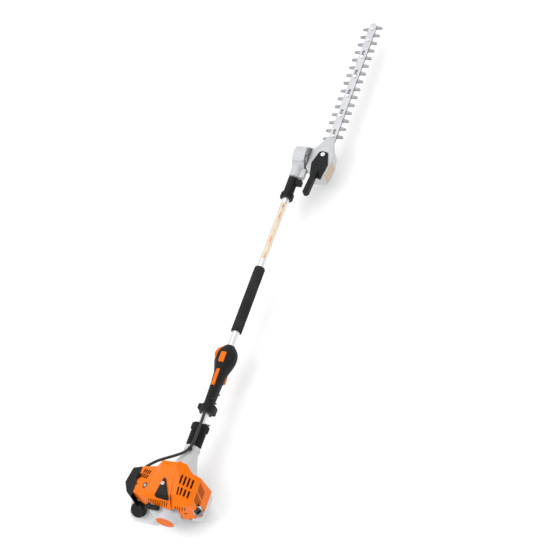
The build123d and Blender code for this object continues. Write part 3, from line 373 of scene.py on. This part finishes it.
def metal_nodes():
    """Castings, tubes, shafts, blades and fasteners. Gives back the two that other pieces share."""
    casting = surface("grey_casting", PALE_GREY, 0.42, grain=700, depth=0.00010, vary=0.03, wear=1.15,
                      edge=0.0012)
    # The raw castings inside the covers are partly their own metal colour and partly painted shade: they
    # are kept dark so the inside of the housing looks shaded.
    raw = surface("raw_casting", (0.20, 0.205, 0.21), 0.5, metal=0.9, grain=500, depth=0.0001)
    tube = surface("satin_tube", (0.78, 0.79, 0.80), 0.28, metal=0.9, grain=300, depth=0.00002, vary=0.02,
                   stretch=(0.04, 1, 1))
    steel = surface("ground_steel", (0.52, 0.52, 0.53), 0.3, metal=1.0, grain=500, depth=0.00003,
                    stretch=(1, 0.08, 1))
    blade = surface("blade_steel", (0.27, 0.27, 0.28), 0.34, metal=1.0, grain=420, depth=0.00005,
                    stretch=(0.06, 1, 1), vary=0.16, wear=1.25, edge=0.0005)
    bar = surface("bar_alloy", (0.50, 0.51, 0.53), 0.40, metal=0.7, grain=420, depth=0.00004,
                  stretch=(0.05, 1, 1), vary=0.05)
    notched = surface("notched_steel", (0.22, 0.22, 0.23), 0.46, metal=0.9, grain=600, depth=0.00005,
                      wear=1.0)
    # The muffler inside its cover is partly its own dark steel and partly painted shade: it is kept dark so
    # the inside of the housing looks shaded.
    dark = surface("dark_steel", (0.08, 0.08, 0.08), 0.5, metal=0.8)
    zinc = surface("zinc", (0.62, 0.62, 0.62), 0.28, metal=1.0, depth=0.00002, vary=0.08)
    black_oxide = surface("black_oxide", (0.045, 0.045, 0.047), 0.36, metal=0.8, depth=0.00002, vary=0.1)
    ceramic = surface("ceramic", (0.75, 0.74, 0.70), 0.2)
    bronze = surface("bronze", (0.48, 0.32, 0.15), 0.5, metal=0.9)
    paint(casting, "clutch_housing", "starter_housing", "arm_housing", "gearbox_housing", "base_foot")
    paint(raw, "crankcase", "cylinder", "piston", "connecting_rod", "flywheel_fan", "carburettor")
    paint(tube, "drive_tube")
    paint(bar, "guide_bar")
    paint(steel, "drive_shaft", "crankshaft", "clutch_drum", "clutch_shoes", "bevel_shaft", "drive_pinion",
          "crank_gear", "lock_bolt", "pinion_bearing", "handle_pins")
    paint(notched, "hinge_quadrant")
    paint(blade, "upper_blade", "lower_blade")
    paint(dark, "muffler")
    paint(zinc, "shroud_screws", "tube_screw", "head_bolts")
    paint(black_oxide, "handle_screws")
    paint(ceramic, "spark_plug")
    paint(bronze, "shaft_bushes")
    return zinc, steel


# ---------------------------------------------------------------- mesh helpers

def add_piece(name, verts, faces, material, body):
    """A new mesh object, smooth but for its sharp edges, that rides on a body if one is given."""
    mesh = bpy.data.meshes.new(name)
    mesh.from_pydata([tuple(v) for v in verts], [], faces)
    work = bmesh.new()
    work.from_mesh(mesh)
    bmesh.ops.remove_doubles(work, verts=work.verts, dist=WELD_GAP)
    bmesh.ops.recalc_face_normals(work, faces=work.faces)
    work.to_mesh(mesh)
    work.free()
    for polygon in mesh.polygons:
        polygon.use_smooth = True
    mesh.set_sharp_from_angle(angle=SHARP_ANGLE)
    mesh.materials.append(material)
    piece = bpy.data.objects.new(name, mesh)
    SCENE.collection.objects.link(piece)
    if body:
        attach(piece, body)
    return piece


def turned(name, profile, origin, direction, material, body, steps=40):
    """A closed outline of (along, radius) points spun about a line."""
    turn = Vector(direction).to_track_quat("Z", "Y")
    verts = []
    for step in range(steps):
        angle = 2 * math.pi * step / steps
        for along, radius in profile:
            local = Vector((radius * math.cos(angle), radius * math.sin(angle), along))
            verts.append(Vector(origin) + turn @ local)
    size = len(profile)
    faces = []
    for step in range(steps):
        near, far = step * size, (step + 1) % steps * size
        for index in range(size):
            after = (index + 1) % size
            faces.append((near + index, near + after, far + after, far + index))
    add_piece(name, verts, faces, material, body)


def table(pairs, value):
    """Straight-line interpolation in a (places, values) table."""
    places, values = pairs
    if value <= places[0]:
        return values[0]
    for index in range(len(places) - 1):
        if value <= places[index + 1]:
            share = (value - places[index]) / (places[index + 1] - places[index])
            return values[index] + share * (values[index + 1] - values[index])
    return values[-1]


def part_way(ends, step, steps):
    """The value a number of steps along a range."""
    return ends[0] + (ends[1] - ends[0]) * step / steps


def grid(point, first, second, columns, rows, skip=None):
    """Vertices and faces of point(u, v, odd) over two ranges, without the cells that skip(u, v) names."""
    verts = [point(part_way(first, column, columns), part_way(second, row, rows), (row + column) % 2)
             for row in range(rows + 1) for column in range(columns + 1)]
    faces = []
    for row in range(rows):
        for column in range(columns):
            if skip and skip(part_way(first, column + 0.5, columns), part_way(second, row + 0.5, rows)):
                continue
            corner = row * (columns + 1) + column
            faces.append((corner, corner + 1, corner + columns + 2, corner + columns + 1))
    return verts, faces


def sheet_piece(name, point, first, second, material, body, cell=0.002, skip=None, dimple=DIMPLE):
    """A thin pressed sheet: point(u, v, lift) over two ranges, every other vertex lifted by a dimple."""
    columns = max(2, round((first[1] - first[0]) / cell))
    rows = max(2, round((second[1] - second[0]) / cell))
    verts, faces = grid(lambda u, v, odd: point(u, v, dimple * odd), first, second, columns, rows, skip)
    add_piece(name, verts, faces, material, body)


def moulding(name, outline, thick, origin, across, up, material, body, round_by):
    """A plate on an outline in the plane of two directions, with rounded edges."""
    side, top = Vector(across).normalized(), Vector(up).normalized()
    out = side.cross(top)
    work = bmesh.new()
    base = [work.verts.new(Vector(origin) + side * x + top * y) for x, y in outline]
    face = work.faces.new(base)
    grown = bmesh.ops.extrude_face_region(work, geom=[face])
    lift = [item for item in grown["geom"] if isinstance(item, bmesh.types.BMVert)]
    bmesh.ops.translate(work, vec=out * thick, verts=lift)
    bmesh.ops.bevel(work, geom=work.edges[:], offset=round_by, segments=3, affect="EDGES", profile=0.5)
    mesh = bpy.data.meshes.new("work")
    work.to_mesh(mesh)
    work.free()
    verts = [v.co.copy() for v in mesh.vertices]
    faces = [tuple(p.vertices) for p in mesh.polygons]
    bpy.data.meshes.remove(mesh)
    add_piece(name, verts, faces, material, body)


# ---------------------------------------------------------------- pieces on the engine

def shroud_deck(u, v, lift):
    """A point under the sloping deck: u along X, v down the slope."""
    place = Vector(DECK_CENTRE) + Vector((u, 0, 0)) + Vector(DECK_DOWN) * v
    return place - Vector(DECK_UP) * (THIN_DEPTH + lift)


def shroud_back(y, z, lift):
    """A point inside the rear of the left cover."""
    rear = max(table(SHROUD_BACK, z), table(SHROUD_BACK_PLAN, y))
    return (rear + SHADE_SHEET_DEPTH + lift, y, z)


def cover_top(x, y, lift):
    """A point under the top of the right cover."""
    top = min(table(COVER_TOP, y), table(COVER_TOP_ALONG, x))
    return (x, y, top - SHADE_SHEET_DEPTH - TOP_SHADE_SHEET_EXTRA - lift)


def cover_back(y, z, lift):
    """A point inside the rear of the right cover."""
    rear = max(table(COVER_BACK, z), table(COVER_BACK_PLAN, y))
    return (rear + SHADE_SHEET_DEPTH + lift, y, z)


def cover_side(x, z, lift):
    """A point inside the side of the right cover."""
    return (x, table(COVER_SIDE, z) + THIN_DEPTH + lift, z)


def add_painted_shade_sheets():
    """Near-black sheets behind the covers' vents: painted shade for the dark inside of the housing."""
    # These sheets are painted shade, so the vents look dark inside.
    shade_sheet_paint = black_mesh_and_painted_shade("vent_painted_shade")
    sheet_piece("deck_shade_sheet", shroud_deck, (-0.0208, 0.0198), (-0.0231, 0.0186), shade_sheet_paint, "powerhead")
    sheet_piece("shroud_rear_shade_sheet", shroud_back, (-0.020, 0.050), (0.047, 0.074), shade_sheet_paint, "powerhead")
    sheet_piece("cover_top_shade_sheet", cover_top, (-0.724, -0.657), (-0.082, -0.041), shade_sheet_paint, "powerhead")
    sheet_piece("cover_rear_shade_sheet", cover_back, (-0.074, -0.033), (0.0455, 0.060), shade_sheet_paint, "powerhead")
    sheet_piece("cover_side_shade_sheet", cover_side, (-0.7248, -0.6562), (0.0122, 0.0608), shade_sheet_paint, "powerhead",
                skip=lambda x, z: x < -0.711 and z < 0.030)


def add_exhaust(steel):
    """The bright heat shield round the muffler's outlet, its lip, and the outlet's spark screen."""
    outline = ((-0.0150, -0.0205), (0.0150, -0.0205), (0.0150, 0.0120), (0.0080, 0.0190), (-0.0150, 0.0190))
    moulding("exhaust_shield", outline, 0.0014, (SHIELD_X, SHIELD_Y, 0.0060), SHIELD_ALONG, UPRIGHT, steel,
             "powerhead", 0.0004)
    lip = ((-0.0150, -0.0015), (0.0150, -0.0015), (0.0150, 0.0015), (-0.0150, 0.0015))
    moulding("exhaust_shield_lip", lip, 0.0085, (SHIELD_X, SHIELD_Y, -0.0135), SHIELD_ALONG, UPRIGHT, steel,
             "powerhead", 0.0005)
    disc = ((0.0, 0.0), (0.0, 0.0079), (0.0006, 0.0079), (0.0012, 0.0040), (0.0012, 0.0))
    turned("spark_screen", disc, OUTLET_CENTRE, OUTLET_AXIS, black_mesh_and_painted_shade("spark_wire"), "powerhead")


def add_fittings(zinc):
    """A black ring round the deck screw as painted shade in its recess, the cable's clip and the nut on the
    gearbox.
    """
    black = surface("clip_plastic_and_recess_shade", (0.010, 0.010, 0.010), 0.55, grain=1500, depth=0.0001, vary=0.2,
                    gloss=0.3)
    # The black ring round the deck screw is painted shade that darkens its recess; the clip shares its
    # black.
    seat = Vector(DECK_SCREW) - RECESS_SHADE_SINK * Vector(DECK_UP)
    ring = ((-0.0016, 0.0060), (0.0006, 0.0062), (0.0016, 0.0072), (0.0016, 0.0084), (0.0006, 0.0094),
            (-0.0016, 0.0094))
    turned("deck_screw_recess_shade", ring, seat, DECK_UP, black, "powerhead")
    clip = ((-0.0045, 0.0047), (0.0045, 0.0047), (0.0045, 0.0060), (0.0030, 0.0070), (-0.0030, 0.0070),
            (-0.0045, 0.0060))
    turned("cable_clip", clip, CABLE_CLIP, CABLE_CLIP_AXIS, black, "powerhead")
    nut = ((0.0, 0.0), (0.0, 0.0079), (0.0020, 0.0079), (0.0028, 0.0070), (0.0028, 0.0036),
           (0.0042, 0.0034), (0.0046, 0.0026), (0.0046, 0.0))
    turned("crank_gear_nut", nut, CRANK_NUT, UPRIGHT, zinc, "cutter_head", NUT_STEPS)


def braided(name):
    """A woven black sleeve."""
    material, tree, shader = new_material(name)
    place = coords(tree, turn=(0.0, 0.3, 0.5))
    wave = tree.nodes.new("ShaderNodeTexWave")
    wave.inputs["Scale"].default_value = 160.0
    wave.inputs["Distortion"].default_value = 1.5
    tree.links.new(place, wave.inputs["Vector"])
    weave = wave.outputs["Fac"]
    tree.links.new(blend_colour(tree, weave, (0.006, 0.006, 0.006), (0.020, 0.020, 0.021)),
                   shader.inputs["Base Color"])
    tree.links.new(remap(tree, noise(tree, place, 500.0), 0.42, 0.6), shader.inputs["Roughness"])
    bump(tree, shader, weave, 0.4, 0.0002)
    return material


def add_cable():
    """The throttle cable, from the handle over the boot to the engine cover."""
    curve = bpy.data.curves.new("throttle_cable_sleeve", "CURVE")
    curve.dimensions = "3D"
    curve.bevel_depth = CABLE_DIAMETER / 2
    curve.bevel_resolution = 5
    curve.resolution_u = 10
    spline = curve.splines.new("NURBS")
    spline.points.add(len(CABLE_ROUTE) - 1)
    for point, place in zip(spline.points, CABLE_ROUTE):
        point.co = (*place, 1)
    spline.order_u = 3
    spline.use_endpoint_u = True
    curve.materials.append(braided("cable_sleeve"))
    cable = bpy.data.objects.new("throttle_cable_sleeve", curve)
    SCENE.collection.objects.link(cable)
    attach(cable, "powerhead")
    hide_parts("throttle_cable")


def add_starter_rope():
    """The starter's rope, which the grip draws out of the housing."""
    cotton = banded("starter_rope_cotton", (0.55, 0.54, 0.50), (0.10, 0.10, 0.10), 0.0012, 0.8)
    start, end = Vector(ROPE_START), Vector(ROPE_END)
    length = (end - start).length
    turn = (end - start).to_track_quat("Z", "Y")
    verts, faces = [], []
    for ring in range(ROPE_RINGS + 1):
        share = ring / ROPE_RINGS
        for step in range(ROPE_STEPS):
            angle = 2 * math.pi * step / ROPE_STEPS
            radius = ROPE_RADIUS + STRAND_HEIGHT * math.cos(3 * angle + 9 * share)
            verts.append(start + turn @ Vector((radius * math.cos(angle), radius * math.sin(angle),
                                                share * length)))
    for ring in range(ROPE_RINGS):
        near, far = ring * ROPE_STEPS, (ring + 1) * ROPE_STEPS
        for step in range(ROPE_STEPS):
            after = (step + 1) % ROPE_STEPS
            faces.append((near + step, near + after, far + after, far + step))
    rope = add_piece("starter_rope", verts, faces, cotton, None)
    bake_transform(rope)


# ---------------------------------------------------------------- labels

def gearbox_face(along, z, lift):
    """A point just off the gearbox's outer faces, by distance along their outline."""
    return (table(GEARBOX_X, along), table(GEARBOX_Y, along) - LABEL_LIFT - lift, z)


def add_gearbox_label():
    """A flat hatched label on the gearbox's outer faces."""
    print_out = banded("gearbox_label_print", (0.66, 0.55, 0.42), (0.34, 0.22, 0.14), 0.0042, 0.45,
                       ratio=0.62, depth=0.00002)
    sheet_piece("gearbox_label", gearbox_face, (0.001, 0.0635), (-0.038, 0.008), print_out, "cutter_head",
                cell=0.0015, dimple=0.0)


def label_ink(name, paper, ink, accent, pitch):
    """Pale paper with rows of plain dashes in two colours."""
    material, tree, shader = new_material(name)
    place = coords(tree)
    brick = tree.nodes.new("ShaderNodeTexBrick")
    brick.offset = 0.37
    brick.squash = 1.0
    for socket, number in (("Scale", 1.0), ("Mortar Size", pitch * 0.16), ("Mortar Smooth", 0.05),
                           ("Bias", 0.0), ("Brick Width", pitch * 1.9), ("Row Height", pitch * 0.55)):
        brick.inputs[socket].default_value = number
    for socket, colour in (("Color1", ink), ("Color2", accent), ("Mortar", paper)):
        brick.inputs[socket].default_value = (*colour, 1)
    tree.links.new(place, brick.inputs["Vector"])
    gaps = remap(tree, noise(tree, coords(tree, (1, 6, 6)), 34.0, 1.0), 0.0, 1.0, 0.44, 0.50)
    tint = blend_colour(tree, gaps, brick.outputs["Color"], paper)
    worn = remap(tree, noise(tree, place, 160.0, 4.0), 0.0, 0.10)
    tree.links.new(blend_colour(tree, worn, tint, shade(paper, 0.6)), shader.inputs["Base Color"])
    tree.links.new(remap(tree, noise(tree, place, 90.0), 0.34, 0.5), shader.inputs["Roughness"])
    return material


def add_pole_label():
    """A long label wrapped over the pole's upper right."""
    paper = label_ink("pole_label_print", (0.74, 0.62, 0.45), (0.10, 0.09, 0.08), (0.80, 0.20, 0.02), 0.016)

    def point(x, turn, _):
        angle = POLE_LABEL_MIDDLE + turn
        return (x, POLE_LABEL_R * math.sin(angle), POLE_LABEL_R * math.cos(angle))

    verts, faces = grid(point, POLE_LABEL_ENDS, (-POLE_LABEL_HALF, POLE_LABEL_HALF), 60, 16)
    add_piece("pole_label", verts, faces, paper, "powerhead")


add_camera()
add_studio()
satin_nodes()
zinc, steel = metal_nodes()
add_painted_shade_sheets()
add_exhaust(steel)
add_fittings(zinc)
add_cable()
add_starter_rope()
add_pole_label()
add_gearbox_label()
